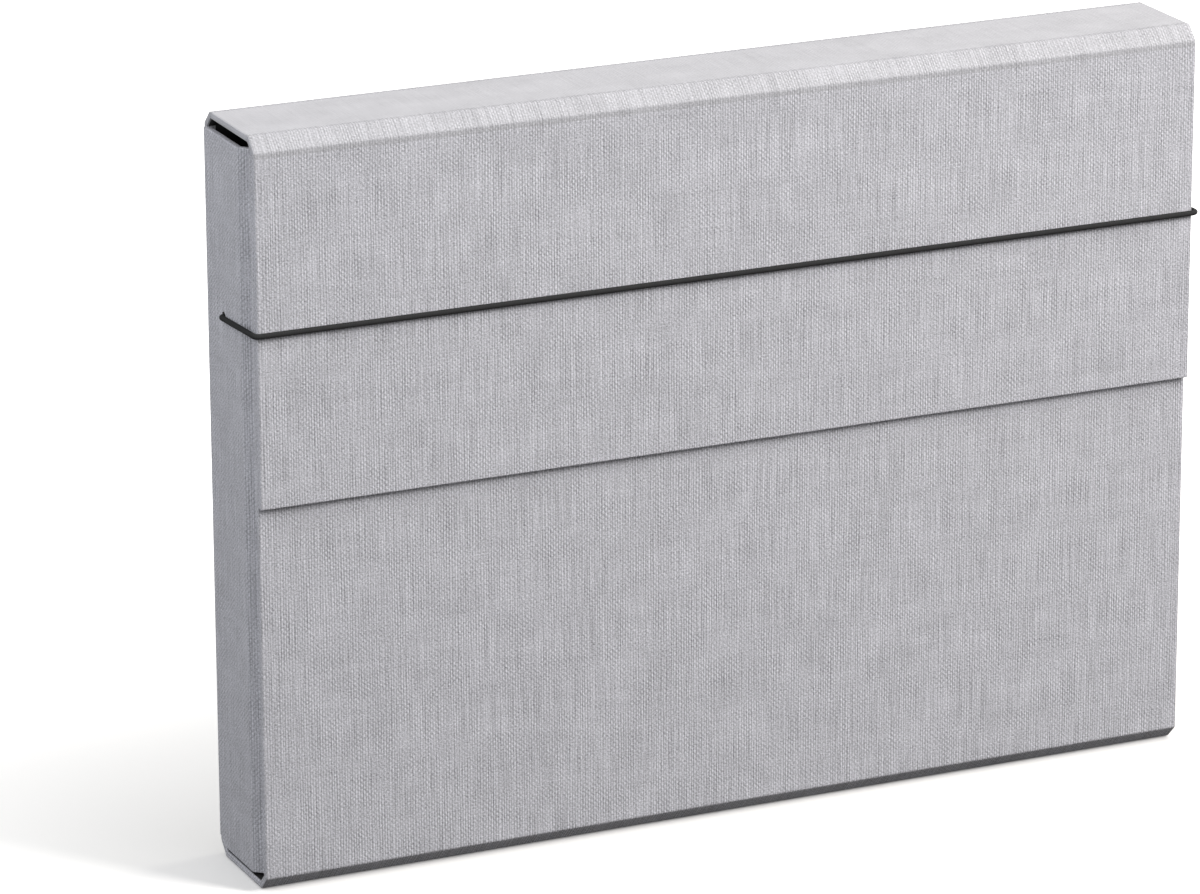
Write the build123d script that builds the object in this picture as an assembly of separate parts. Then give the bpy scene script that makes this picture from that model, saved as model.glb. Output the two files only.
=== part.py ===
from build123d import *
import os
from math import radians, sqrt, tan

# Elastic document folder with its lid closed, standing on its long bottom edge.
# X runs along the width, the front faces -Y and +Z is up. All sizes are in millimetres.
# The origin is on the floor, in the middle of the closed folder and its cord.

# The cover, measured over the cloth
folder_width = 330.0
folder_height = 248.5
folder_depth = 42.0
crease_leg = 4.5           # a corner is creased twice, each crease this far from the sharp corner
flap_drop = 119.7          # from the top of the folder down to the flap's lower edge
tray_drop = 5.8            # from the top of the folder down to the tray's upper edges

# The sheets it is made of
board = 1.7                # grey board of the cover
side_board = 1.5           # grey board of the two sides
cloth = 0.2                # covering cloth, outside and turned in round the board's ends
lining = 0.1               # paper pasted over the inside
turn_in = 20.0             # width of the cloth turned in
lining_margin = 3.0        # cloth left showing between the lining and the cover's ends
crease_gap = 0.1           # between two panels at a crease

# The sides
corner_leg = 9.1           # a side turns in at 45 degrees over this distance, near the front
side_lift = 1.0            # between the bottom panel and the lower edge of a side
side_clearance = 0.3       # between the two bottom strips and a side
front_paste_down = 7.5     # side cloth glued to the front board's inner face
back_paste_down = 12.0     # side cloth glued round the back corner

# The flap hangs this far in front of the front panel
flap_clearance = 0.15

# The elastic cord
cord_diameter = 2.0
cord_clearance = 0.3       # between the straight cord and the cover
cord_corner_radius = 1.7   # of the cord's middle line, round the flap's edge
cord_exit_radius = 2.2     # of the cord's middle line, where it leaves its hole
cord_above_flap_edge = 56.9
cord_hole = 3.2
hole_from_back = 14.0
hole_above_flap_edge = 55.7

# The metal end of the cord, inside each side
bar_length = 14.0
bar_diameter = 1.8
sleeve_diameter = 3.4
sleeve_length = 4.0
sleeve_wall_end = 0.8
bar_clearance = 0.1        # round the cord, and between the bar and the side
bar_edge = 0.5

# Depths below the outer face of the cover
board_depth = cloth + board
turn_in_depth = board_depth + cloth
cover_depth = turn_in_depth + lining

# Places that several pieces share
cord_offset = cord_clearance + cord_diameter / 2
cord_reach = cord_clearance + cord_diameter
left = -folder_width / 2
flap_face = -(folder_depth + cloth - cord_reach) / 2
back_face = flap_face + folder_depth
front_face = flap_face + cover_depth + flap_clearance
flap_bottom = folder_height - flap_drop
tray_top = folder_height - tray_drop
side_bottom = cover_depth + side_lift
back_inside = back_face - turn_in_depth
strip_end = front_face + turn_in_depth + cloth
hole_y = back_face - hole_from_back
hole_z = flap_bottom + hole_above_flap_edge
cord_z = flap_bottom + cord_above_flap_edge

# The outer face of the cover as (y, z) points, from the flap's lower edge over the top,
# down the back, under the bottom and up the front
cover_path = [
    Vector(flap_face, flap_bottom),
    Vector(flap_face, folder_height - crease_leg),
    Vector(flap_face + crease_leg, folder_height),
    Vector(back_face - crease_leg, folder_height),
    Vector(back_face, folder_height - crease_leg),
    Vector(back_face, crease_leg),
    Vector(back_face - crease_leg, 0),
    Vector(front_face + crease_leg, 0),
    Vector(front_face, crease_leg),
    Vector(front_face, tray_top),
]
cover_panels = [
    "flap",
    "front_top_strip",
    "top_panel",
    "back_top_strip",
    "back",
    "back_bottom_strip",
    "bottom",
    "front_bottom_strip",
    "front",
]


def right_hand(start, end):
    """Unit vector to the right of a line seen from above."""
    along = (end - start).normalized()
    return Vector(along.Y, -along.X)


def offset_path(path, distance):
    """The path moved to its right, with mitred corners."""
    moved = []
    for i, point in enumerate(path):
        before = right_hand(path[i - 1], point) if i > 0 else right_hand(point, path[i + 1])
        after = right_hand(point, path[i + 1]) if i < len(path) - 1 else before
        moved.append(point + (before + after) * (distance / (1 + before.dot(after))))
    return moved


def prism(points, plane, length):
    """A closed outline drawn on a plane and extruded along its normal."""
    corners = [(point.X, point.Y) for point in points]
    return extrude(plane * make_face(Polyline(*corners, close=True)), amount=length)


# Cover panels: each is a flat slab of the cover, mitred where it meets the next one

def cover_slab(name, outer, inner, end_margin, edge_margin):
    """One panel between two depths, kept back from the cover's ends and from a free edge."""
    i = cover_panels.index(name)
    along = (cover_path[i + 1] - cover_path[i]).normalized()
    first = along * (edge_margin if i == 0 else crease_gap / 2)
    last = along * (edge_margin if i == len(cover_panels) - 1 else crease_gap / 2)
    face = offset_path(cover_path, outer)
    back = offset_path(cover_path, inner)
    outline = [face[i] + first, face[i + 1] - last, back[i + 1] - last, back[i] + first]
    return prism(outline, Plane.YZ.offset(left + end_margin), folder_width - 2 * end_margin)


def cover_board(name):
    return cover_slab(name, cloth, board_depth, cloth, cloth)


def cover_cloth(name):
    """Cloth over the outer face, the ends and the free edge, turned in on the inner face."""
    wrapped = cover_slab(name, 0, turn_in_depth, 0, 0)
    window = cover_slab(name, board_depth, turn_in_depth, turn_in, turn_in)
    return wrapped - cover_board(name) - window


def cover_lining(name, end_margin):
    """Paper that lies on the board and steps up over the cloth turned in."""
    sheet = cover_slab(name, board_depth, cover_depth, end_margin, lining_margin)
    all_over = cover_slab(name, board_depth, turn_in_depth, 0, 0)
    window = cover_slab(name, board_depth, turn_in_depth, turn_in, turn_in)
    step = turn_in + lining
    hollow = cover_slab(name, board_depth + lining, cover_depth, step, step)
    return sheet - (all_over - window) - hollow


# The left side: a band in plan, from the back panel to the front panel, with its front part
# turned in. The right side is its mirror image.
bend_y = strip_end + corner_leg
side_path = [
    Vector(left, back_inside),
    Vector(left, bend_y),
    Vector(left + corner_leg + turn_in, strip_end - turn_in),
]
corner_cut = crease_leg - turn_in_depth + (cover_depth + side_clearance) * sqrt(2) - side_bottom


def side_outline(margin):
    """The side seen from the left, with its two lower corners cut off, kept in by a margin."""
    cut = corner_cut + margin * (sqrt(2) - 1)
    low = side_bottom + margin
    high = tray_top - margin
    outline = [
        Vector(strip_end, high),
        Vector(back_inside, high),
        Vector(back_inside, low + cut),
        Vector(back_inside - cut, low),
        Vector(strip_end + cut, low),
        Vector(strip_end, low + cut),
    ]
    return prism(outline, Plane.YZ.offset(left), corner_leg + turn_in)


def side_band(outer, inner, margin):
    """The bent side between two depths below the board's outer face."""
    outline = offset_path(side_path, -outer) + offset_path(side_path, -inner)[::-1]
    return prism(outline, Plane.XY, folder_height) & side_outline(margin)


def cord_hole_cutter():
    through = Cylinder(cord_hole / 2, 4 * side_board, rotation=(0, 90, 0))
    return Pos(left, hole_y, hole_z) * through


def side_boards():
    """The flat side board and its corner strip, parted by a mitre at the crease."""
    both = side_band(0, side_board, cloth)
    mitre = Plane((left, bend_y, 0), x_dir=(0, 0, 1), z_dir=(-tan(radians(22.5)), 1, 0))
    flat = split(both, mitre.offset(crease_gap / 2), keep=Keep.TOP)
    strip = split(both, mitre.offset(-crease_gap / 2), keep=Keep.BOTTOM)
    return flat - cord_hole_cutter(), strip


def side_cloth():
    """Cloth over a side, round the back corner, and on to the front board's inner face."""
    path = [
        Vector(left + back_paste_down, back_face),
        Vector(left, back_face),
        Vector(left, bend_y),
        Vector(left + corner_leg, strip_end),
        Vector(left + corner_leg + front_paste_down, strip_end),
    ]
    plan = path + offset_path(path, cloth)[::-1]
    crease_rise = turn_in_depth * tan(radians(22.5))
    outline = [
        Vector(strip_end - cloth, tray_top),
        Vector(back_face + cloth, tray_top),
        Vector(back_face + cloth, crease_leg + side_clearance),
        Vector(back_inside, crease_leg + side_clearance + crease_rise),
        Vector(back_inside, side_bottom + corner_cut),
        Vector(back_inside - corner_cut, side_bottom),
        Vector(strip_end + corner_cut, side_bottom),
        Vector(strip_end - cloth, side_bottom + corner_cut + cloth),
    ]
    reach = corner_leg + front_paste_down + back_paste_down
    outside = prism(plan, Plane.XY, folder_height)
    outside &= prism(outline, Plane.YZ.offset(left - cloth), reach)
    hem = side_band(0, side_board + cloth, 0) - side_band(0, side_board, cloth)
    hem -= side_band(side_board, side_board + cloth, turn_in)
    return outside + hem - cord_hole_cutter()


def side_lining():
    """Paper over the inside of a side, stepping up over the hems."""
    hem_face = side_board + cloth
    sheet = side_band(side_board, hem_face + lining, lining_margin)
    hems = side_band(side_board, hem_face, 0) - side_band(side_board, hem_face, turn_in)
    hollow = side_band(side_board + lining, hem_face + lining, turn_in + lining)
    return sheet - hems - hollow - cord_hole_cutter()


# The elastic cord: from inside the left side, round the front, to inside the right side

def cord_end_x():
    """Where the cord ends, measured from the middle of the folder."""
    sleeve_mouth = folder_width / 2 - side_board - cloth - lining - bar_clearance
    return sleeve_mouth - (sleeve_length - sleeve_wall_end - bar_clearance)


def elastic_cord():
    run_x = folder_width / 2 + cord_offset
    run_y = flap_face - cord_offset
    route = [
        (-cord_end_x(), hole_y, hole_z),
        (-run_x, hole_y, hole_z),
        (-run_x, run_y, cord_z),
        (run_x, run_y, cord_z),
        (run_x, hole_y, hole_z),
        (cord_end_x(), hole_y, hole_z),
    ]
    bends = [cord_exit_radius, cord_corner_radius, cord_corner_radius, cord_exit_radius]
    middle = FilletPolyline(*route, radius=bends)
    section = Plane(middle @ 0, z_dir=middle % 0) * Circle(cord_diameter / 2)
    cord = sweep(section, path=middle)
    expected = middle.length * 3.14159 * cord_diameter ** 2 / 4
    print("cord length", round(middle.length, 1), "volume", round(cord.volume, 1), round(expected, 1))
    return cord


def cord_end_bar():
    """A crossbar with a sleeve in its middle that grips the cord's end, for the left side."""
    bar = Cylinder(bar_diameter / 2, bar_length, rotation=(90, 0, 0))
    bar = fillet(bar.edges().filter_by(GeomType.CIRCLE), bar_edge)
    sleeve = Cylinder(sleeve_diameter / 2, sleeve_length, rotation=(0, 90, 0))
    sleeve = fillet(sleeve.edges().filter_by(GeomType.CIRCLE).sort_by(Axis.X)[-1], bar_edge)
    bore = Cylinder(cord_diameter / 2 + bar_clearance, sleeve_length, rotation=(0, 90, 0))
    side_inside = side_board + cloth + lining
    seat = left + side_inside + bar_clearance
    body = Pos(seat + bar_diameter / 2, 0, 0) * bar + Pos(seat + sleeve_length / 2, 0, 0) * sleeve
    body -= Pos(seat + sleeve_length / 2 - sleeve_wall_end, 0, 0) * bore
    return Pos(0, hole_y, hole_z) * body


def write(name, shape):
    export_step(shape, os.path.join("parts", name + ".step"))


os.makedirs("parts", exist_ok=True)

for panel in cover_panels:
    margin = lining_margin
    if panel == "front":
        margin = corner_leg + front_paste_down + lining_margin
    write(panel + "_board", cover_board(panel))
    write(panel + "_cloth", cover_cloth(panel))
    write(panel + "_lining", cover_lining(panel, margin))

flat_board, strip_board = side_boards()
side_pieces = {
    "side_board": flat_board,
    "corner_strip_board": strip_board,
    "side_cloth": side_cloth(),
    "side_lining": side_lining(),
    "cord_end_bar": cord_end_bar(),
}
for piece, shape in side_pieces.items():
    write("left_" + piece, shape)
    write("right_" + piece, mirror(shape, about=Plane.YZ))

write("elastic_cord", elastic_cord())
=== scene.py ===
from math import pi, radians, tan

import bmesh
import bpy
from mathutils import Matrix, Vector


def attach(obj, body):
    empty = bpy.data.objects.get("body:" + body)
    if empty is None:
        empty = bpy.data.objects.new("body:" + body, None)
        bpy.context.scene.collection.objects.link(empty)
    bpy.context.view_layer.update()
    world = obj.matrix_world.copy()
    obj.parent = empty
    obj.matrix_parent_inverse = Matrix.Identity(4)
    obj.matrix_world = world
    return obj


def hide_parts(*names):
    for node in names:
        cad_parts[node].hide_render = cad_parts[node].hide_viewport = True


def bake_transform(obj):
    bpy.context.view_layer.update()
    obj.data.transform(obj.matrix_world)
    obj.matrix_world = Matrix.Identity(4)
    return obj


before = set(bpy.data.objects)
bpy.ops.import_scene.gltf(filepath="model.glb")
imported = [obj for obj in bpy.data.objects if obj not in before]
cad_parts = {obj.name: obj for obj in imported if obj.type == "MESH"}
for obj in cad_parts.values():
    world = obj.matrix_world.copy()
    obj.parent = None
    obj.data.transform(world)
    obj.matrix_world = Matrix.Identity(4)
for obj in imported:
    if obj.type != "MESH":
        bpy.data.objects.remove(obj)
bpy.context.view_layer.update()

mm = 0.001
print("frame loaded:", len(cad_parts), "nodes")


# Camera, at the photograph's angle

view = {
    "place": (-0.853066, -1.794563, 0.761906),
    "turn": (72.1334, 0.2294, -24.4488),   # degrees
    "lens": 192.908,
    "sensor": 36,
}


def makeCamera():
    lens = bpy.data.cameras.new("camera")
    lens.lens = view["lens"]
    lens.sensor_width = view["sensor"]
    camera = bpy.data.objects.new("camera", lens)
    camera.location = view["place"]
    camera.rotation_euler = [radians(angle) for angle in view["turn"]]
    bpy.context.scene.collection.objects.link(camera)
    bpy.context.scene.camera = camera
    bpy.context.scene.view_settings.view_transform = "Standard"


makeCamera()
print("camera placed")


# Shader maths: a wire is one socket, and an operator on it adds a Math node

class Wire:
    def __init__(self, recipe, socket):
        self.recipe = recipe
        self.socket = socket

    def part(self, name):
        return Wire(self.recipe, self.socket.node.outputs[name])

    def calc(self, operation, *values):
        return self.recipe.node("ShaderNodeMath", {"operation": operation}, dict(enumerate(values)))

    def __add__(self, other):
        return self.calc("ADD", self, other)

    def __radd__(self, other):
        return self.calc("ADD", other, self)

    def __sub__(self, other):
        return self.calc("SUBTRACT", self, other)

    def __rsub__(self, other):
        return self.calc("SUBTRACT", other, self)

    def __mul__(self, other):
        return self.calc("MULTIPLY", self, other)

    def __rmul__(self, other):
        return self.calc("MULTIPLY", other, self)

    def __truediv__(self, other):
        return self.calc("DIVIDE", self, other)


class Recipe:
    def __init__(self, tree):
        self.tree = tree

    def node(self, kind, settings=None, inputs=None, out=0):
        made = self.tree.nodes.new(kind)
        for key, value in (settings or {}).items():
            setattr(made, key, value)
        for key, value in (inputs or {}).items():
            self.feed(made.inputs[key], value)
        return Wire(self, made.outputs[out])

    def feed(self, socket, value):
        if isinstance(value, Wire):
            self.tree.links.new(value.socket, socket)
        else:
            socket.default_value = value

    def cosine(self, angle):
        return self.node("ShaderNodeMath", {"operation": "COSINE"}, {0: angle})

    def clamp(self, value):
        return self.node("ShaderNodeClamp", None, {0: value})

    def pair(self, x, y, z=0.0):
        return self.node("ShaderNodeCombineXYZ", None, {0: x, 1: y, 2: z})

    def vector(self, operation, *values, out=0):
        return self.node("ShaderNodeVectorMath", {"operation": operation}, dict(enumerate(values)), out)

    def noise(self, vector, scale=1.0, detail=2.0, roughness=0.5):
        inputs = {"Vector": vector, "Scale": scale, "Detail": detail, "Roughness": roughness}
        return self.node("ShaderNodeTexNoise", None, inputs)

    def place(self):
        return self.node("ShaderNodeTexCoord").part("Object")

    def between(self, factor, low, high):
        # sockets 6 and 7 and output 2 are the Mix node's colours
        return self.node("ShaderNodeMix", {"data_type": "RGBA"}, {0: factor, 6: low, 7: high}, out=2)

    def bump(self, height, distance, strength=1.0):
        inputs = {"Height": height, "Distance": distance, "Strength": strength}
        return self.node("ShaderNodeBump", None, inputs)


def newFinish(name, **constants):
    finish = bpy.data.materials.new(name)
    finish.use_nodes = True
    shader = finish.node_tree.nodes["Principled BSDF"]
    for socket, value in constants.items():
        shader.inputs[socket.replace("_", " ")].default_value = value
    return finish, Recipe(finish.node_tree), shader


def tinted(colour, tint):
    return (*[level * part for level, part in zip(colour, tint)], 1)


def grey(level):
    return (level, level, level, 1)


# Stage: a pale floor, a pale world and soft lamps

stage = {
    "floorSize": 12,
    "floorDrop": 0.3 * mm,
    "floorShown": (1.0, 0.985, 0.955, 1),    # the floor as the camera and reflections see it
    "floorBounce": (0.02, 0.02, 0.02, 1),    # the floor as it lights the object
    "footprint": (165 * mm, 21 * mm, 0),
    "paintedGlow": 0.13,             # glow painted on the floor as seen, least beside the object, which leaves painted shade there
    "paintedGlowPerMetre": 2.1,      # and how much more glow is painted further away
    "skyShown": 1.0,
    "skyLight": 0.37,
    "middle": (0, 0, 120 * mm),
    "lamps": {
        "front": {"toward": (0.506, -0.628, 0.588), "far": 1.55, "size": 0.44, "tall": 0.7, "power": 19.2,
                  "tint": (1.0, 0.985, 0.985)},
        "high": {"toward": (0.313, -0.39, 0.866), "far": 1.4, "size": 0.25, "tall": 0.25, "power": 2.6,
                 "tint": (1.0, 0.97, 0.92)},
        "left": {"toward": (-0.82, -0.22, 0.53), "far": 0.95, "size": 0.7, "tall": 0.7, "power": 3.2,
                 "tint": (0.95, 0.99, 1.06)},
        "right": {"toward": (0.49, 0.08, 0.87), "far": 1.4, "size": 0.25, "tall": 0.25, "power": 2.1,
                  "tint": (1.0, 0.97, 0.92)},
    },
}


def seenDirectly(recipe):
    path = recipe.node("ShaderNodeLightPath")
    seen = path.part("Is Camera Ray")
    for name in ("Is Glossy Ray", "Is Transmission Ray"):
        seen = seen.calc("MAXIMUM", seen, path.part(name))
    return seen


def makeStage():
    bpy.ops.object.select_all(action="DESELECT")
    bpy.ops.mesh.primitive_plane_add(size=stage["floorSize"], location=(0, 0, -stage["floorDrop"]))
    floor = bpy.context.object
    floor.name = "floor"
    bpy.ops.object.transform_apply(location=True, rotation=False, scale=False)
    finish, recipe, shader = newFinish("pale floor", Roughness=0.9, Emission_Strength=1.0)
    seen = seenDirectly(recipe)
    shade = recipe.between(seen, stage["floorBounce"], stage["floorShown"])
    recipe.feed(shader.inputs["Base Color"], shade)
    away = recipe.vector("ABSOLUTE", recipe.place())
    away = recipe.vector("SUBTRACT", away, stage["footprint"])
    away = recipe.vector("LENGTH", recipe.vector("MAXIMUM", away, (0, 0, 0)), out=1)
    # painted glow on the floor, seen by the camera and in reflections only; it grows with the distance
    # from the object's footprint, so the floor next to the object is painted darker
    paintedGlow = recipe.clamp(away * stage["paintedGlowPerMetre"] + stage["paintedGlow"])
    recipe.feed(shader.inputs["Emission Color"], recipe.between(seen * paintedGlow, grey(0.0), grey(1.0)))
    floor.data.materials.append(finish)

    world = bpy.data.worlds.new("studio")
    world.use_nodes = True
    recipe = Recipe(world.node_tree)
    strength = seenDirectly(recipe) * (stage["skyShown"] - stage["skyLight"]) + stage["skyLight"]
    sky = world.node_tree.nodes["Background"]
    sky.inputs["Color"].default_value = (1, 1, 1, 1)
    recipe.feed(sky.inputs["Strength"], strength)
    bpy.context.scene.world = world

    for name, lamp in stage["lamps"].items():
        light = bpy.data.lights.new(name, "AREA")
        light.shape = "RECTANGLE"
        light.size = lamp["size"]
        light.size_y = lamp["tall"]
        light.energy = lamp["power"]
        light.color = lamp["tint"]
        holder = bpy.data.objects.new(name, light)
        direction = Vector(lamp["toward"]).normalized()
        holder.location = Vector(stage["middle"]) + direction * lamp["far"]
        holder.rotation_euler = direction.to_track_quat("Z", "Y").to_euler()
        bpy.context.scene.collection.objects.link(holder)


makeStage()
print("stage and lamps made")


# Finishes

linen = {
    "threadPitch": 0.902 * mm,
    "weftPitch": 0.868 * mm,
    "light": (0.920, 0.912, 0.960),
    "dark": (0.252, 0.250, 0.264),
    "relief": 0.14 * mm,
    "wander": 1.2,        # in threads
    "rising": 0.5,
    "falling": 0.3,
    "slubSpread": 0.18,
    "slubRange": (0.35, 1.4),
    "heights": {"warp": 0.26, "beads": 0.25, "speck": 1.55, "thread": 0.8},
    # the tones take the heights' parts with the same sign, so the weave is painted lighter where it stands
    # high and darker in its hollows, painted shade; the streak is random tone
    "tones": {"warp": 0.15, "beads": 0.16, "speck": 1.85, "thread": 0.6, "streak": 0.22},
    "cloud": 0.32,
    "noises": {           # spots per thread across and along, seed, detail, roughness
        "wander": (0.22, 0.02, 0.0, 3.0, 0.6),
        "drift": (0.05, 0.12, 7.0, 2.0, 0.5),
        "slub": (0.12, 0.07, 11.0, 3.0, 0.6),
        "thread": (1.7, 0.04, 3.0, 1.0, 0.5),
        "speck": (1.4, 1.6, 5.0, 3.0, 0.8),
        "streak": (0.06, 0.3, 23.0, 3.0, 0.65),
        "cloud": (0.045, 0.06, 19.0, 5.0, 0.7),
    },
}


def weigh(parts, shares):
    # the parts added up, each times its share
    total = 0
    for name, share in shares.items():
        total = parts[name] * share + total
    return total


def makeLinen(name, relief, grainAndShade, tint):
    # relief: how high the threads stand; the second number: how much lighter and darker the threads are
    # painted, lighter on their crests and darker in the hollows, painted shade, besides random tone; tint:
    # what the colours are multiplied by
    finish, recipe, shader = newFinish(name, Roughness=0.88, Specular_IOR_Level=0.25)
    place = recipe.node("ShaderNodeUVMap", {"uv_map": "threads"})
    run = recipe.node("ShaderNodeSeparateXYZ", None, {0: place})
    across = run.part("X") / linen["threadPitch"]
    along = run.part("Y") / linen["weftPitch"]

    def uneven(kind):
        # noise round 0
        acrossScale, alongScale, seed, detail, roughness = linen["noises"][kind]
        place = recipe.pair(across * acrossScale, along * alongScale, seed)
        return recipe.noise(place, detail=detail, roughness=roughness) - 0.5

    # the threads wander a little from their straight lines
    across = across + uneven("wander") * linen["wander"]
    along = along + uneven("drift") * linen["wander"]

    # in places the weave hardly shows, and in others it stands out
    spread, (least, most) = linen["slubSpread"], linen["slubRange"]
    slub = recipe.node("ShaderNodeMapRange", None, {
        "Value": uneven("slub"), "From Min": -spread, "From Max": spread, "To Min": least, "To Max": most})
    rising = recipe.cosine((across + along) * pi)
    falling = recipe.cosine((across - along) * pi)
    parts = {
        "warp": recipe.cosine(across * (2 * pi)) * slub,
        "beads": (rising * linen["rising"] + falling * linen["falling"]) * slub,
        "thread": uneven("thread"),
        "speck": uneven("speck"),
        "streak": uneven("streak"),
    }
    height = weigh(parts, linen["heights"])
    recipe.feed(shader.inputs["Normal"], recipe.bump(height, linen["relief"] * relief))

    # the colour follows the relief: painted shade in the weave's hollows, lighter on its threads, with
    # random streaks and clouds
    tone = recipe.clamp(weigh(parts, linen["tones"]) * grainAndShade + uneven("cloud") * linen["cloud"] + 0.5)
    shade = recipe.between(tone, tinted(linen["dark"], tint), tinted(linen["light"], tint))
    recipe.feed(shader.inputs["Base Color"], shade)
    return finish


paper = {
    "dark": 0.017,
    "light": 0.030,
    "relief": 0.03 * mm,
    "fibres": 900.0,
    "clouds": 60.0,
    "tones": {"fibre": 0.6, "cloud": 0.4},
    "smoothest": 0.55,
    "rougher": 0.15,
}


def makePaper():
    finish, recipe, shader = newFinish("black lining paper", Specular_IOR_Level=0.3)
    place = recipe.place()
    fibre = recipe.noise(place, scale=paper["fibres"], detail=5.0, roughness=0.65)
    cloud = recipe.noise(place, scale=paper["clouds"], detail=3.0)
    tone = weigh({"fibre": fibre, "cloud": cloud}, paper["tones"])
    shade = recipe.between(tone, grey(paper["dark"]), grey(paper["light"]))
    recipe.feed(shader.inputs["Base Color"], shade)
    recipe.feed(shader.inputs["Roughness"], cloud * paper["rougher"] + paper["smoothest"])
    recipe.feed(shader.inputs["Normal"], recipe.bump(fibre, paper["relief"]))
    return finish


board = {
    "dark": (0.19, 0.18, 0.16, 1),
    "light": (0.36, 0.34, 0.31, 1),
    "relief": 0.06 * mm,
    "fibres": 1500.0,
    "flecks": 350.0,
    "tones": {"fibre": 0.6, "fleck": 0.4},
}


def makeBoard():
    finish, recipe, shader = newFinish("grey board", Roughness=0.9)
    place = recipe.place()
    fibre = recipe.noise(place, scale=board["fibres"], detail=6.0, roughness=0.7)
    fleck = recipe.noise(place, scale=board["flecks"], detail=2.0)
    tone = weigh({"fibre": fibre, "fleck": fleck}, board["tones"])
    shade = recipe.between(tone, board["dark"], board["light"])
    recipe.feed(shader.inputs["Base Color"], shade)
    recipe.feed(shader.inputs["Normal"], recipe.bump(fibre, board["relief"]))
    return finish


steel = {
    "dark": (0.42, 0.42, 0.43, 1),
    "light": (0.62, 0.62, 0.63, 1),
    "relief": 0.01 * mm,
    "lines": 9000,        # drawn lines per metre, and how often they break off
    "breaks": 300,
    "smoothest": 0.22,
    "rougher": 0.25,
}


def makeSteel():
    finish, recipe, shader = newFinish("brushed steel", Metallic=1.0, Roughness=0.35)
    place = recipe.place()
    spot = recipe.node("ShaderNodeSeparateXYZ", None, {0: place})
    lines, breaks = steel["lines"], steel["breaks"]
    place = recipe.pair(spot.part("X") * lines, spot.part("Y") * breaks, spot.part("Z") * lines)
    drawn = recipe.noise(place)
    shade = recipe.between(drawn, steel["dark"], steel["light"])
    recipe.feed(shader.inputs["Base Color"], shade)
    recipe.feed(shader.inputs["Roughness"], drawn * steel["rougher"] + steel["smoothest"])
    recipe.feed(shader.inputs["Normal"], recipe.bump(drawn, steel["relief"]))
    return finish


braid = {
    "strands": 8,
    "rise": 1.1 * mm,
    "dark": 0.024,
    "light": 0.066,
    "relief": 0.02 * mm,
    "fuzzRound": 30,
    "fuzzPerMetre": 2500,
    "fuzzHeight": 0.8,
    "tones": {"strands": 0.25, "fuzz": 0.6},
    "tone": 0.1,
}


def makeBraid():
    finish, recipe, shader = newFinish("black braided elastic", Roughness=0.8, Specular_IOR_Level=0.01)
    place = recipe.node("ShaderNodeUVMap", {"uv_map": "threads"})
    run = recipe.node("ShaderNodeSeparateXYZ", None, {0: place})
    turn = run.part("X") * (braid["strands"] * 2 * pi)
    climb = run.part("Y") * (2 * pi / braid["rise"])
    height = recipe.cosine(turn + climb) * recipe.cosine(turn - climb)
    fuzzPlace = recipe.pair(run.part("X") * braid["fuzzRound"], run.part("Y") * braid["fuzzPerMetre"])
    fuzz = recipe.noise(fuzzPlace, detail=3.0)
    # the colour follows the strands' relief: lighter on the strands, darker in the grooves between them,
    # painted shade, with random fuzz
    tone = recipe.clamp(weigh({"strands": height, "fuzz": fuzz}, braid["tones"]) + braid["tone"])
    shade = recipe.between(tone, grey(braid["dark"]), grey(braid["light"]))
    recipe.feed(shader.inputs["Base Color"], shade)
    recipe.feed(shader.inputs["Normal"], recipe.bump(height + fuzz * braid["fuzzHeight"], braid["relief"]))
    return finish


linenFinish = makeLinen("linen cloth", 1.0, 1.0, (1.0, 1.0, 1.0))
# the creases and strips, and the top, are the same cloth painted darker, painted shade that offsets the
# stronger light they catch; their weave is also calmer
stripFinish = makeLinen("linen cloth, creases and strips, painted darker", 0.75, 0.75, (0.85, 0.85, 0.838))
lidFinish = makeLinen("linen cloth, top, smoother and painted darker", 0.35, 0.3, (0.95, 0.95, 0.932))
paperFinish = makePaper()
boardFinish = makeBoard()
steelFinish = makeSteel()
braidFinish = makeBraid()
print("finishes made")


# Modelling helpers

samePoint = 0.01 * mm        # points nearer than this are one
mitreLean = tan(pi / 8)      # the cover turns by 45 degrees at a time, so its mitres lean by half of that
smoothBelow = radians(40)
sharpAbove = radians(60)
partly, squarely = 0.3, 0.9  # how much of a face's normal points one way


def pick(mode, test):
    bpy.ops.mesh.select_mode(type=mode)
    bpy.ops.mesh.select_all(action="DESELECT")
    shape = bmesh.from_edit_mesh(bpy.context.object.data)
    items = {"VERT": shape.verts, "EDGE": shape.edges, "FACE": shape.faces}[mode]
    for item in items:
        if test(item):
            item.select = True
    shape.select_flush_mode()
    bmesh.update_edit_mesh(bpy.context.object.data)


def edit(piece):
    bpy.ops.object.select_all(action="DESELECT")
    piece.select_set(True)
    bpy.context.view_layer.objects.active = piece
    bpy.ops.object.mode_set(mode="EDIT")


def leave():
    bpy.ops.object.mode_set(mode="OBJECT")


def apply(piece, kind, **settings):
    bpy.ops.object.select_all(action="DESELECT")
    piece.select_set(True)
    bpy.context.view_layer.objects.active = piece
    modifier = piece.modifiers.new(kind.lower(), kind)
    for key, value in settings.items():
        setattr(modifier, key, value)
    bpy.ops.object.modifier_apply(modifier=modifier.name)


def thicken(piece, thickness):
    apply(piece, "SOLIDIFY", thickness=thickness, offset=-1, use_even_offset=True)


def cut(place, normal, **clear):
    bpy.ops.mesh.bisect(plane_co=place, plane_no=normal, threshold=samePoint / 10, **clear)


def mitred(path, distance):
    # the path moved to its left, with mitred corners
    moved = []
    for i, point in enumerate(path):
        here = (path[i + 1] - point if i < len(path) - 1 else point - path[i - 1]).normalized()
        before = (point - path[i - 1]).normalized() if i else here
        left = Vector((-before.y - here.y, before.x + here.x)) / (1 + before.dot(here))
        moved.append(point + left * distance)
    return moved


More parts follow.
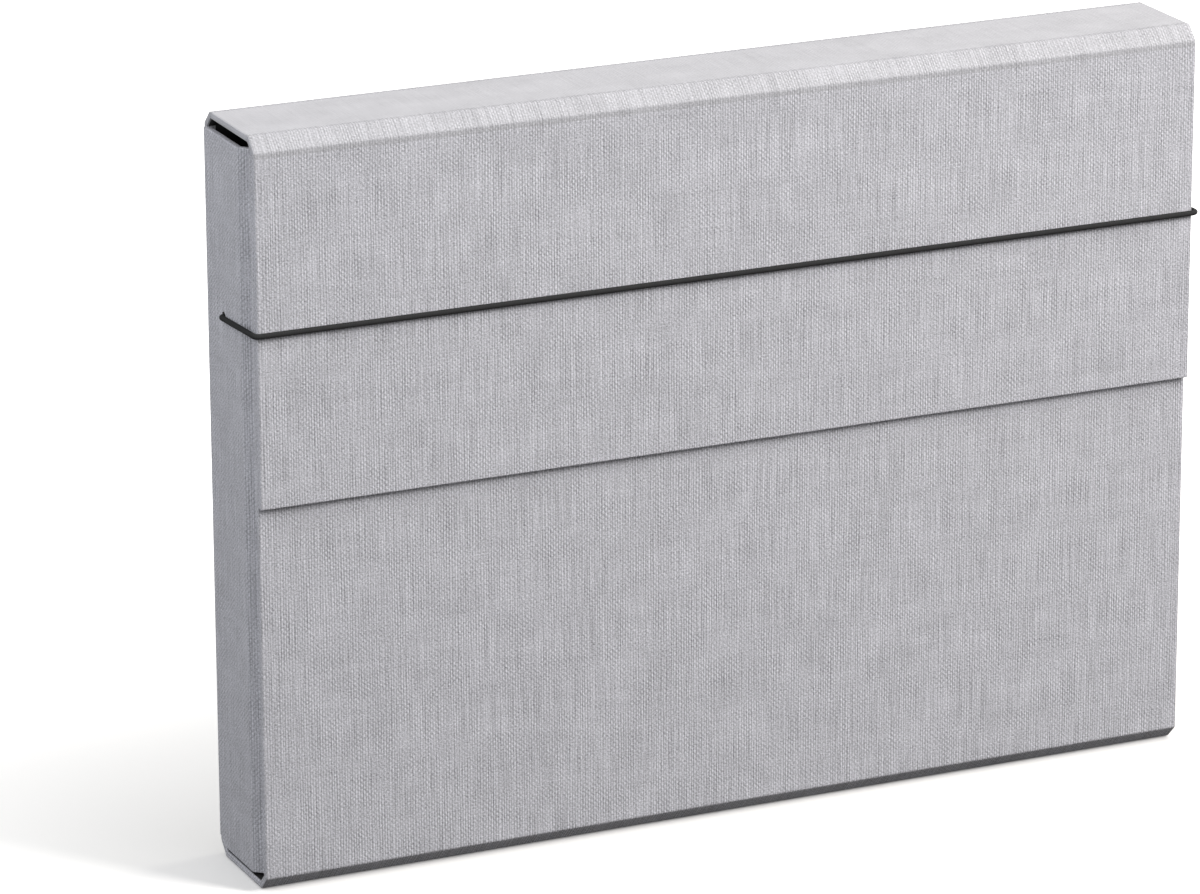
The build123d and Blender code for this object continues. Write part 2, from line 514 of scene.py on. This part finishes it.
def stations(path, nearEnd, nearCrease):
    # the path's points, with a few more beside its ends and its creases
    found = [path[0]]
    for i, (start, end) in enumerate(zip(path, path[1:])):
        along = (end - start).normalized()
        first = nearCrease if i else nearEnd
        last = nearEnd if i == len(path) - 2 else nearCrease
        found += [start + along * step for step in first]
        found += [end - along * step for step in reversed(last)]
        found.append(end)
    return found


def onPath(path, point, deepest):
    # which stretch of the path a point belongs to, how far along it, and how deep to its right
    best = None
    for i, (start, end) in enumerate(zip(path, path[1:])):
        along = (end - start).normalized()
        reach = (end - start).length
        t = (point - start).dot(along)
        depth = (point - start).dot(Vector((along.y, -along.x)))
        lean = max(0, depth) * mitreLean
        low = lean if i else 0
        high = reach - (lean if i < len(path) - 2 else 0)
        miss = max(0, low - t, t - high) + max(0, -depth, depth - deepest)
        if best is None or miss < best[0] - samePoint / 100:
            best = (miss, i, t, depth)
    return best[1:]


def dress(piece, finish):
    bpy.ops.object.select_all(action="DESELECT")
    piece.select_set(True)
    bpy.context.view_layer.objects.active = piece
    bpy.ops.object.shade_smooth_by_angle(angle=smoothBelow)
    piece.data.materials.clear()
    piece.data.materials.append(finish)


# The cover: one sheet of cloth round nine boards, creased twice at each corner

cover = {
    "end": 165 * mm,
    "top": 248.5 * mm,
    "leg": 4.5 * mm,
    "flapFace": -19.95 * mm,
    "flapBottom": 128.8 * mm,
    "frontFace": -17.6 * mm,
    "frontTop": 242.7 * mm,
    "backFace": 22.05 * mm,
    "wrap": 2.1 * mm,            # cloth, board and turned-in cloth
    "whole": 2.3 * mm,           # and the lining
    "cloth": 0.2 * mm,
    "turnIn": 20 * mm,
    "edgeLoop": 0.6 * mm,
    "edgeRound": 0.35 * mm,
    "edgeSteps": 3,
    "creaseRound": 0.45 * mm,
    "creaseSteps": 4,
    "creaseLoops": [1.1 * mm, 2.0 * mm],
    "creaseBend": 1.05 * mm,     # how far from a crease its cloth starts to bend
}
coverPath = [Vector(point) for point in (
    (cover["flapFace"], cover["flapBottom"]),
    (cover["flapFace"], cover["top"] - cover["leg"]),
    (cover["flapFace"] + cover["leg"], cover["top"]),
    (cover["backFace"] - cover["leg"], cover["top"]),
    (cover["backFace"], cover["top"] - cover["leg"]),
    (cover["backFace"], cover["leg"]),
    (cover["backFace"] - cover["leg"], 0),
    (cover["frontFace"] + cover["leg"], 0),
    (cover["frontFace"], cover["leg"]),
    (cover["frontFace"], cover["frontTop"]),
)]
backRun, frontRun = 4, len(coverPath) - 2    # where the back and the front are on this path
runs = [0]
for start, end in zip(coverPath, coverPath[1:]):
    runs.append(runs[-1] + (end - start).length)

# Each stretch of the cover with its bodies: one that carries it, or the two that it lies between
creaseLoop = cover["creaseLoops"][-1]
stretches = [
    ("flap", ["flap"], ["flap"]),
    ("frontLowerCrease", ["front_top_strip", "flap"], []),
    ("frontStrip", ["front_top_strip"], ["front_top_strip"]),
    ("frontUpperCrease", ["top_panel", "front_top_strip"], []),
    ("top", ["top_panel"], ["top_panel"]),
    ("backUpperCrease", ["back_top_strip", "top_panel"], []),
    ("backStrip", ["back_top_strip"], ["back_top_strip"]),
    ("backLowerCrease", ["tray", "back_top_strip"], []),
    ("tray", ["tray"], ["back", "back_bottom_strip", "bottom", "front_bottom_strip", "front"]),
]


def foldedStrip(name, points, halfWidth):
    # a plane on the path's first step, then an extrusion for each further step
    first, second = points[:2]
    middle = (first + second) / 2
    bpy.ops.object.select_all(action="DESELECT")
    bpy.ops.mesh.primitive_plane_add(
        size=2 * halfWidth, location=(0, middle.x, middle.y), rotation=(pi / 2, 0, 0))
    strip = bpy.context.object
    strip.name = name
    bpy.ops.object.transform_apply(location=True, rotation=True, scale=True)
    edit(strip)
    bpy.ops.transform.resize(
        value=(1, 1, (second.y - first.y) / (2 * halfWidth)), center_override=(0, middle.x, middle.y))
    pick("EDGE", lambda edge: all(v.co.z > middle.y for v in edge.verts))
    for here, there in zip(points[1:], points[2:]):
        step = there - here
        bpy.ops.mesh.extrude_region_move(TRANSFORM_OT_translate={"value": (0, step.x, step.y)})
    leave()
    return strip


def onCover(place):
    return onPath(coverPath, Vector((place.y, place.z)), cover["whole"])


def reached(place):
    # how far along the cover a point lies, from the flap's edge
    i, t, depth = onCover(place)
    return runs[i] + t


def mapCover(piece):
    # unrolls the piece, in metres: across the cloth, and along it from the flap's edge
    sheet = piece.data.uv_layers.new(name="threads")
    vertices = piece.data.vertices
    for face in piece.data.polygons:
        i, t, depth = onCover(face.center)
        start = coverPath[i]
        along = (coverPath[i + 1] - start).normalized()
        onEnd = abs(face.normal.x) > partly
        onEdge = abs(face.normal.y * along.x + face.normal.z * along.y) > partly
        for corner in face.loop_indices:
            place = vertices[piece.data.loops[corner].vertex_index].co
            offset = Vector((place.y, place.z)) - start
            t, depth = offset.dot(along), offset.dot(Vector((along.y, -along.x)))
            across = place.x
            if onEnd:
                across += depth if across > 0 else -depth
            elif onEdge and i == 0:
                t -= depth
            elif onEdge and i == frontRun:
                t += depth
            sheet.data[corner].uv = (across, runs[i] + t)


def shareOut(master, finishes, suffix, thickness):
    # cuts the sheet at its moving creases, and hands each stretch with one body to that body
    ends = []
    for i in range(1, 5):
        ends += [runs[i] - creaseLoop, runs[i] + creaseLoop]
    ends.append(runs[-1] + mm)
    for (stretch, bodies, nodes), end in zip(stretches, ends):
        name = stretch + suffix
        if stretch == "tray":
            piece = master
        else:
            edit(master)
            pick("FACE", lambda face: reached(face.calc_center_median()) < end)
            bpy.ops.mesh.separate(type="SELECTED")
            leave()
            piece = next(o for o in bpy.context.selected_objects if o != master)
        piece.name = piece.data.name = name
        thicken(piece, thickness)
        mapCover(piece)
        dress(piece, finishes.get(stretch, finishes["rest"]))
        if len(bodies) == 1:
            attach(piece, bodies[0])
        else:
            i = stretches.index((stretch, bodies, nodes)) // 2 + 1
            before = (coverPath[i] - coverPath[i - 1]).normalized()
            after = (coverPath[i + 1] - coverPath[i]).normalized()
            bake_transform(piece)
        if nodes:
            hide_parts(*[node + "_" + suffix.lower() for node in nodes])


def isSharp(edge):
    return edge.is_manifold and edge.calc_face_angle() > sharpAbove


def isAt(corner):
    return lambda edge: all((Vector(v.co.yz) - corner).length < samePoint for v in edge.verts)


def makeCoverCloth():
    points = stations(coverPath, [cover["edgeLoop"], cover["turnIn"]], cover["creaseLoops"])
    cloth = foldedStrip("coverCloth", points, cover["end"])
    edit(cloth)
    for x in (cover["end"] - cover["edgeLoop"], cover["end"] - cover["turnIn"]):
        for side in (-x, x):
            bpy.ops.mesh.select_all(action="SELECT")
            cut((side, 0, 0), (1, 0, 0))
    leave()
    thicken(cloth, cover["wrap"])

    edit(cloth)
    for corner in coverPath[1:-1]:
        pick("EDGE", isAt(corner))
        bpy.ops.mesh.bevel(offset=cover["creaseRound"], segments=cover["creaseSteps"], affect="EDGES")
    pick("EDGE", isSharp)
    bpy.ops.mesh.bevel(offset=cover["edgeRound"], segments=cover["edgeSteps"], affect="EDGES")

    # the turned-in cloth stops short of the middle
    inside = cover["end"] - cover["turnIn"]
    innermost = cover["wrap"] - 5 * samePoint

    def isWindow(face):
        place = face.calc_center_median()
        i, t, depth = onCover(place)
        if depth < innermost or abs(place.x) > inside:
            return False
        if i == 0:
            return t > cover["turnIn"]
        if i == frontRun:
            return t < runs[-1] - runs[-2] - cover["turnIn"]
        return True

    pick("FACE", isWindow)
    bpy.ops.mesh.delete(type="FACE")
    leave()
    finishes = {"flap": linenFinish, "top": lidFinish, "tray": linenFinish, "rest": stripFinish}
    shareOut(cloth, finishes, "Cloth", cover["cloth"])


makeCoverCloth()
print("cover cloth made")


# The lining: black paper on the boards, stepping up over the turned-in cloth

lining = {
    "depth": 2.2 * mm,
    "paper": 0.1 * mm,
    "margin": 0.6 * mm,
    "edgeMargin": 3 * mm,
    "backMargin": 3 * mm,
    "frontMargin": 19.6 * mm,
    "step": 0.2 * mm,
}


def makeLining():
    depth, margin = lining["depth"], lining["edgeMargin"]
    path = mitred(coverPath, -depth)
    path[0] += (path[1] - path[0]).normalized() * margin
    path[-1] -= (path[-1] - path[-2]).normalized() * margin
    atStep = cover["turnIn"] - margin
    beside = [step - depth * mitreLean for step in cover["creaseLoops"]]
    points = stations(path, [atStep, atStep + lining["step"]], beside)
    paper = foldedStrip("coverLining", points, cover["end"] - lining["margin"])

    edit(paper)
    inside = cover["end"] - cover["turnIn"]
    backEnd = cover["end"] - lining["backMargin"]
    frontEnd = cover["end"] - lining["frontMargin"]
    for x in (backEnd, frontEnd, inside, inside - lining["step"]):
        for side in (-x, x):
            bpy.ops.mesh.select_all(action="SELECT")
            cut((side, 0, 0), (1, 0, 0))
    ends = cover["turnIn"] + lining["step"] / 2

    def isLow(vertex):
        i, t, below = onCover(vertex.co)
        atEdge = i == 0 and t < ends or i == frontRun and t > runs[-1] - runs[-2] - ends
        return abs(vertex.co.x) < inside - lining["step"] / 2 and not atEdge

    pick("VERT", isLow)
    bpy.ops.transform.shrink_fatten(value=lining["step"], use_even_offset=True)

    # the sides stand against the back and the front
    widest = {backRun: backEnd, frontRun: frontEnd}

    def isSpare(face):
        place = face.calc_center_median()
        return abs(place.x) > widest.get(onCover(place)[0], cover["end"])

    pick("FACE", isSpare)
    bpy.ops.mesh.delete(type="FACE")
    bpy.ops.mesh.select_all(action="SELECT")
    bpy.ops.mesh.flip_normals()
    leave()
    shareOut(paper, {"rest": paperFinish}, "Lining", lining["paper"])


makeLining()
print("cover lining made")


# The two sides: cloth over the side board and its turned-in corner strip

side = {
    "plan": [(-148.4, -15.3), (-155.9, -15.3), (-165, -6.2), (-165, 22.05), (-153, 22.05)],
    "low": 3.2 * mm,
    "high": 242.7 * mm,
    "backInside": 19.95 * mm,
    "frontCut": (-15.5 * mm, 6.1355 * mm),
    "backCut": (19.95 * mm, 5.9355 * mm),
    "cloth": 0.2 * mm,
    "wrap": 1.9 * mm,
    "whole": 2 * mm,
    "turnIn": 20 * mm,
    "bendLoop": 1.0 * mm,
    "bendRound": 0.4 * mm,
    "backRound": 0.3 * mm,
    "bendSteps": 4,
    "edgeLoop": 0.6 * mm,
    "edgeRound": 0.3 * mm,
    "edgeSteps": 3,
    "hole": (-165 * mm, 8.05 * mm, 184.5 * mm),
    "holeRadius": 1.6 * mm,
    "holeSteps": 40,
    "punchLength": 4 * mm,
    "mapShift": 0.5,      # metres, so that the sides' cloth is another part of the weave
}
sidePath = mitred([Vector(point) * mm for point in side["plan"]], side["cloth"])
sideRuns = [0]
for start, end in zip(sidePath, sidePath[1:]):
    sideRuns.append(sideRuns[-1] + (end - start).length)


def mapSide(piece, mirror):
    # unrolls a side in metres: along its plan, and upwards
    sheet = piece.data.uv_layers.new(name="threads")
    for face in piece.data.polygons:
        middle = Vector((face.center.x * mirror, face.center.y))
        i, t, depth = onPath(sidePath, middle, side["whole"])
        along = (sidePath[i + 1] - sidePath[i]).normalized()
        for corner in face.loop_indices:
            place = piece.data.vertices[piece.data.loops[corner].vertex_index].co
            offset = Vector((place.x * mirror, place.y)) - sidePath[i]
            t, depth = offset.dot(along), offset.dot(Vector((along.y, -along.x)))
            rise = 0
            if abs(face.normal.z) > partly:
                rise = depth if face.normal.z > 0 else -depth
            sheet.data[corner].uv = ((sideRuns[i] + t) * mirror + side["mapShift"], place.z + rise)


def makeSide(name, mirror):
    front, corner, bend, back, end = sidePath
    height = side["high"] - side["low"]
    reach = side["backInside"] - bend.y - side["bendLoop"]
    middle = (bend.x, side["backInside"] - reach / 2, (side["high"] + side["low"]) / 2)
    bpy.ops.object.select_all(action="DESELECT")
    bpy.ops.mesh.primitive_plane_add(size=height, location=middle, rotation=(0, -pi / 2, 0))
    cloth = bpy.context.object
    cloth.name = cloth.data.name = name
    bpy.ops.object.transform_apply(location=True, rotation=True, scale=True)

    edit(cloth)
    bpy.ops.transform.resize(value=(1, reach / height, 1), center_override=middle)
    pick("EDGE", lambda edge: all(v.co.y < middle[1] for v in edge.verts))
    strip = corner - bend
    first = strip.normalized() * side["bendLoop"]
    for step in (Vector((0, -side["bendLoop"])), first, strip - first):
        bpy.ops.mesh.extrude_region_move(TRANSFORM_OT_translate={"value": (step.x, step.y, 0)})

    for (y, z), lean in ((side["frontCut"], -1), (side["backCut"], 1)):
        bpy.ops.mesh.select_all(action="SELECT")
        cut((0, y, z), (0, lean, -1), clear_outer=True)
    hems = (side["low"] + side["turnIn"], side["high"] - side["turnIn"])
    for z in hems:
        bpy.ops.mesh.select_all(action="SELECT")
        cut((0, 0, z), (0, 0, 1))
    bpy.ops.mesh.select_all(action="SELECT")
    bpy.ops.mesh.inset(thickness=side["edgeLoop"], use_boundary=True, use_even_offset=True)
    leave()
    thicken(cloth, side["wrap"])

    edit(cloth)
    away = Vector((strip.normalized().x, strip.normalized().y, 0))
    pick("FACE", lambda face: face.normal.y > squarely or face.normal.dot(away) > squarely)
    bpy.ops.mesh.delete(type="FACE")
    pick("FACE", lambda face: face.normal.x > partly and hems[0] < face.calc_center_median().z < hems[1])
    bpy.ops.mesh.delete(type="FACE")
    pick("EDGE", isSharp)
    bpy.ops.mesh.bevel(offset=side["edgeRound"], segments=side["edgeSteps"], affect="EDGES")

    def standsAt(point, onBorder):
        def test(edge):
            near = all((Vector(v.co.xy) - point).length < samePoint for v in edge.verts)
            return near and edge.is_boundary == onBorder
        return test

    pick("EDGE", standsAt(bend, False))
    bpy.ops.mesh.bevel(offset=side["bendRound"], segments=side["bendSteps"], affect="EDGES")

    # pasted down on the front board's inner face, and round the back corner
    pick("EDGE", standsAt(corner, True))
    step = front - corner
    bpy.ops.mesh.extrude_region_move(TRANSFORM_OT_translate={"value": (step.x, step.y, 0)})
    pick("EDGE", standsAt(Vector((back.x, side["backInside"])), True))
    loop = side["edgeLoop"]
    lengths = (back.y - side["backInside"] - loop, loop, loop, end.x - back.x - loop)
    for length, heading in zip(lengths, ((0, 1, 0), (0, 1, 0), (1, 0, 0), (1, 0, 0))):
        step = Vector(heading) * length
        bpy.ops.mesh.extrude_region_move(TRANSFORM_OT_translate={"value": step})
    pick("EDGE", standsAt(back, False))
    bpy.ops.mesh.bevel(offset=side["backRound"], segments=side["bendSteps"], affect="EDGES")

    if mirror < 0:
        bpy.ops.mesh.select_all(action="SELECT")
        bpy.ops.transform.resize(value=(-1, 1, 1), center_override=(0, 0, 0))
        bpy.ops.mesh.flip_normals()
    leave()
    thicken(cloth, side["cloth"])

    x, y, z = side["hole"]
    bpy.ops.mesh.primitive_cylinder_add(
        vertices=side["holeSteps"], radius=side["holeRadius"], depth=side["punchLength"],
        location=(x * mirror, y, z), rotation=(0, pi / 2, 0))
    punch = bpy.context.object
    apply(cloth, "BOOLEAN", object=punch, operation="DIFFERENCE")
    bpy.data.objects.remove(punch)
    mapSide(cloth, mirror)
    dress(cloth, linenFinish)
    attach(cloth, "tray")
    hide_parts(("left" if mirror > 0 else "right") + "_side_cloth")


makeSide("leftSideCloth", 1)
makeSide("rightSideCloth", -1)
print("sides made")


# The elastic cord, tight round the front from one side to the other

elastic = {
    "half": [
        (-160.0, 8.05, 184.5), (-163.4, 8.05, 184.5), (-166.3, 8.05, 184.5), (-166.3, 4.6, 184.6),
        (-166.3, -6.0, 185.2), (-166.3, -17.2, 185.8), (-166.3, -21.15, 185.8),
        (-162.2, -21.15, 185.8), (-150.0, -21.15, 185.8),
    ],
    "thickness": 1.8 * mm,
    "order": 3,
    "stepsPerPoint": 10,
    "roundSteps": 5,
}


def makeElastic():
    half = [Vector(point) * mm for point in elastic["half"]]
    route = half + [Vector((-point.x, point.y, point.z)) for point in reversed(half)]
    curve = bpy.data.curves.new("elasticCord", "CURVE")
    curve.dimensions = "3D"
    line = curve.splines.new("NURBS")
    line.points.add(len(route) - 1)
    for knot, point in zip(line.points, route):
        knot.co = (*point, 1)
    line.order_u = elastic["order"]
    line.use_endpoint_u = True
    line.resolution_u = elastic["stepsPerPoint"]
    cord = bpy.data.objects.new("elasticCord", curve)
    bpy.context.scene.collection.objects.link(cord)
    bpy.context.view_layer.update()
    middle = bpy.data.meshes.new_from_object(cord)
    run = [0]
    for here, there in zip(middle.vertices, middle.vertices[1:]):
        run.append(run[-1] + (there.co - here.co).length)
    print("elastic length", round(run[-1] / mm, 1))

    curve.bevel_depth = elastic["thickness"] / 2
    curve.bevel_resolution = elastic["roundSteps"]
    curve.use_fill_caps = True
    bpy.ops.object.select_all(action="DESELECT")
    cord.select_set(True)
    bpy.context.view_layer.objects.active = cord
    bpy.ops.object.convert(target="MESH")
    cord = bpy.context.object

    # the tube's own map says which ring each corner is on; here it becomes a length
    rings = cord.data.uv_layers[0]
    rings.name = "threads"
    for spot in rings.uv:
        ring, turn = spot.vector
        spot.vector = (turn, run[min(round(ring * (len(run) - 1)), len(run) - 1)])
    dress(cord, braidFinish)
    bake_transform(cord)
    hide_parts("elastic_cord")


makeElastic()
print("elastic made")


# The solids that stay as they are: boards, side linings and the cord's end bars

hidden = {"_board": boardFinish, "_lining": paperFinish, "_cord_end_bar": steelFinish}
for name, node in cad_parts.items():
    for ending, finish in hidden.items():
        if name.endswith(ending):
            node.data.materials.clear()
            node.data.materials.append(finish)
print("boards, side linings and bars finished")
